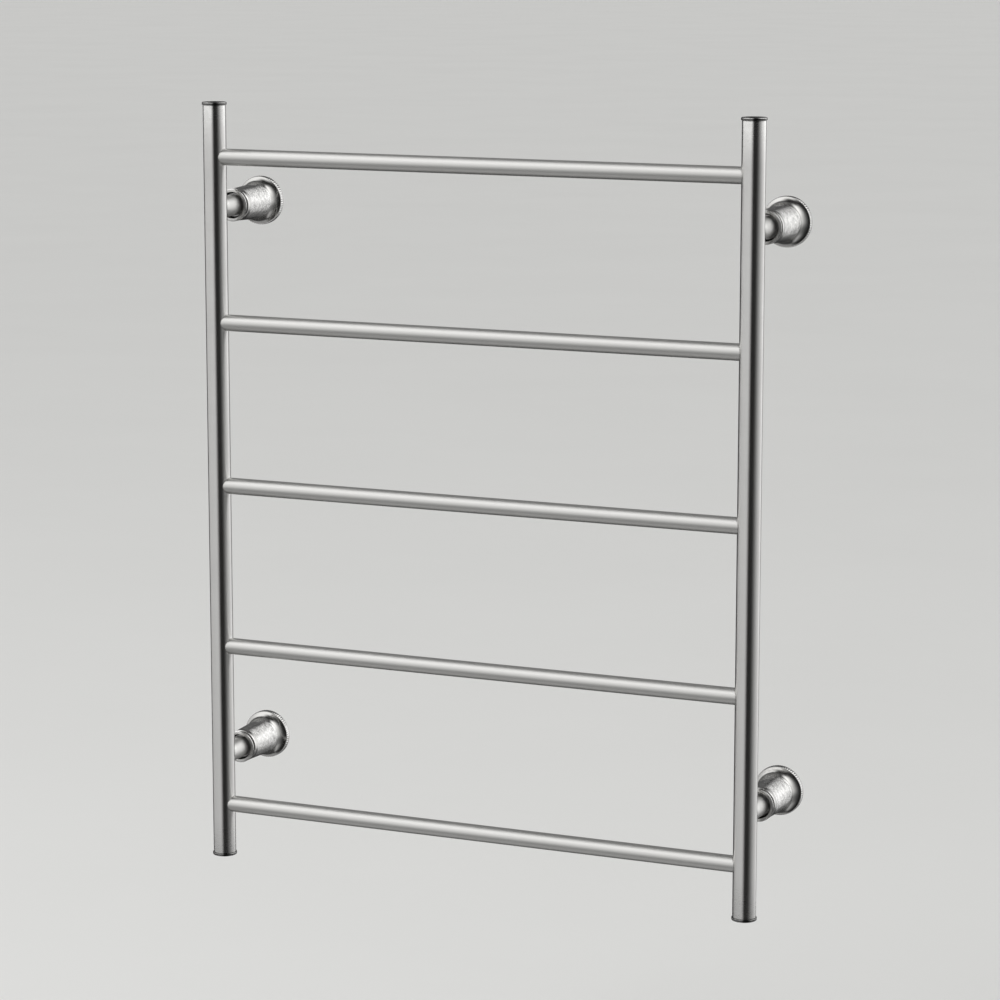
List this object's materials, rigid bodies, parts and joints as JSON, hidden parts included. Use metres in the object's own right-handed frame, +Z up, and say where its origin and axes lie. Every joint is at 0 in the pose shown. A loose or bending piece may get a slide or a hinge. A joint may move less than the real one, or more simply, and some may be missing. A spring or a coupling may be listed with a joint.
{
  "type": "towel warmer rack",
  "caption": "Wall-mounted electric towel warmer: a ladder of round tubes between two posts, held off the wall by sleeved brackets with knurled covers.",
  "frame": {"origin": "on the wall plane, at the centre of the four wall brackets", "axes": "+X along the rungs to the right as seen from the room, +Y into the wall, +Z up"},
  "size_m": [0.598, 0.1079, 0.747],
  "materials": {
    "post_steel": "satin brushed stainless steel, fine grain along the tube",
    "rung_steel": "satin brushed stainless steel, fine grain along the tube",
    "cap_steel": "satin turned stainless steel",
    "arm_steel": "smooth satin stainless steel",
    "base_metal": "turned steel, plain",
    "cover_steel": "satin steel with a fine diamond knurl on the barrel and a serrated rim",
    "collar_steel": "turned satin steel, darker in the recess",
    "spring_steel": "blued spring steel",
    "screw_steel": "stainless set screw",
    "seal_rubber": "matt black rubber",
    "cable_silicone": "matt red-brown silicone sheath",
    "guide_silicone": "translucent pale silicone, matt",
    "ceramic": "unglazed steatite ceramic",
    "brass": "plain brass",
    "cutout_case": "plain drawn aluminium capsule"
  },
  "bodies": {
    "rack": {"post_left": "post_steel", "post_right": "post_steel", "rung_1": "rung_steel", "rung_2": "rung_steel", "rung_3": "rung_steel", "rung_4": "rung_steel", "rung_5": "rung_steel", "end_cap_upper_left": "cap_steel", "end_cap_upper_right": "cap_steel", "end_cap_lower_left": "cap_steel", "end_cap_lower_right": "cap_steel", "arm_upper_left": "arm_steel", "arm_upper_right": "arm_steel", "arm_lower_left": "arm_steel", "arm_lower_right": "arm_steel", "wall_base_upper_left": "base_metal", "wall_base_upper_right": "base_metal", "wall_base_lower_left": "base_metal", "wall_base_lower_right": "base_metal", "arm_grub_screws": "screw_steel", "heating_cable": "cable_silicone", "cable_guides": "guide_silicone", "cable_end_seal": "guide_silicone", "terminal_block": "ceramic", "terminal_screws": "brass", "earth_strip": "brass", "thermal_cutout": "cutout_case", "cable_grommet": "seal_rubber"},
    "carrier_upper_left": {"collar_upper_left": "collar_steel", "o_ring_upper_left": "seal_rubber", "retaining_ring_upper_left": "spring_steel"},
    "sleeve_upper_left": {"cover_upper_left": "cover_steel"},
    "carrier_upper_right": {"collar_upper_right": "collar_steel", "o_ring_upper_right": "seal_rubber", "retaining_ring_upper_right": "spring_steel"},
    "sleeve_upper_right": {"cover_upper_right": "cover_steel"},
    "carrier_lower_left": {"collar_lower_left": "collar_steel", "o_ring_lower_left": "seal_rubber", "retaining_ring_lower_left": "spring_steel"},
    "sleeve_lower_left": {"cover_lower_left": "cover_steel"},
    "carrier_lower_right": {"collar_lower_right": "collar_steel", "o_ring_lower_right": "seal_rubber", "retaining_ring_lower_right": "spring_steel"},
    "sleeve_lower_right": {"cover_lower_right": "cover_steel"}
  },
  "joints": [
    {"name": "cover_slide_upper_left", "type": "slide", "parent": "rack", "child": "carrier_upper_left", "axis": [0, -1, 0], "range_m": [0, 0.018]},
    {"name": "cover_turn_upper_left", "type": "hinge", "parent": "carrier_upper_left", "child": "sleeve_upper_left", "pos_m": [-0.275, -0.05, 0.2715], "axis": [0, -1, 0], "continuous": true},
    {"name": "cover_slide_upper_right", "type": "slide", "parent": "rack", "child": "carrier_upper_right", "axis": [0, -1, 0], "range_m": [0, 0.018]},
    {"name": "cover_turn_upper_right", "type": "hinge", "parent": "carrier_upper_right", "child": "sleeve_upper_right", "pos_m": [0.275, -0.05, 0.2715], "axis": [0, -1, 0], "continuous": true},
    {"name": "cover_slide_lower_left", "type": "slide", "parent": "rack", "child": "carrier_lower_left", "axis": [0, -1, 0], "range_m": [0, 0.018]},
    {"name": "cover_turn_lower_left", "type": "hinge", "parent": "carrier_lower_left", "child": "sleeve_lower_left", "pos_m": [-0.275, -0.05, -0.2715], "axis": [0, -1, 0], "continuous": true},
    {"name": "cover_slide_lower_right", "type": "slide", "parent": "rack", "child": "carrier_lower_right", "axis": [0, -1, 0], "range_m": [0, 0.018]},
    {"name": "cover_turn_lower_right", "type": "hinge", "parent": "carrier_lower_right", "child": "sleeve_lower_right", "pos_m": [0.275, -0.05, -0.2715], "axis": [0, -1, 0], "continuous": true}
  ]
}
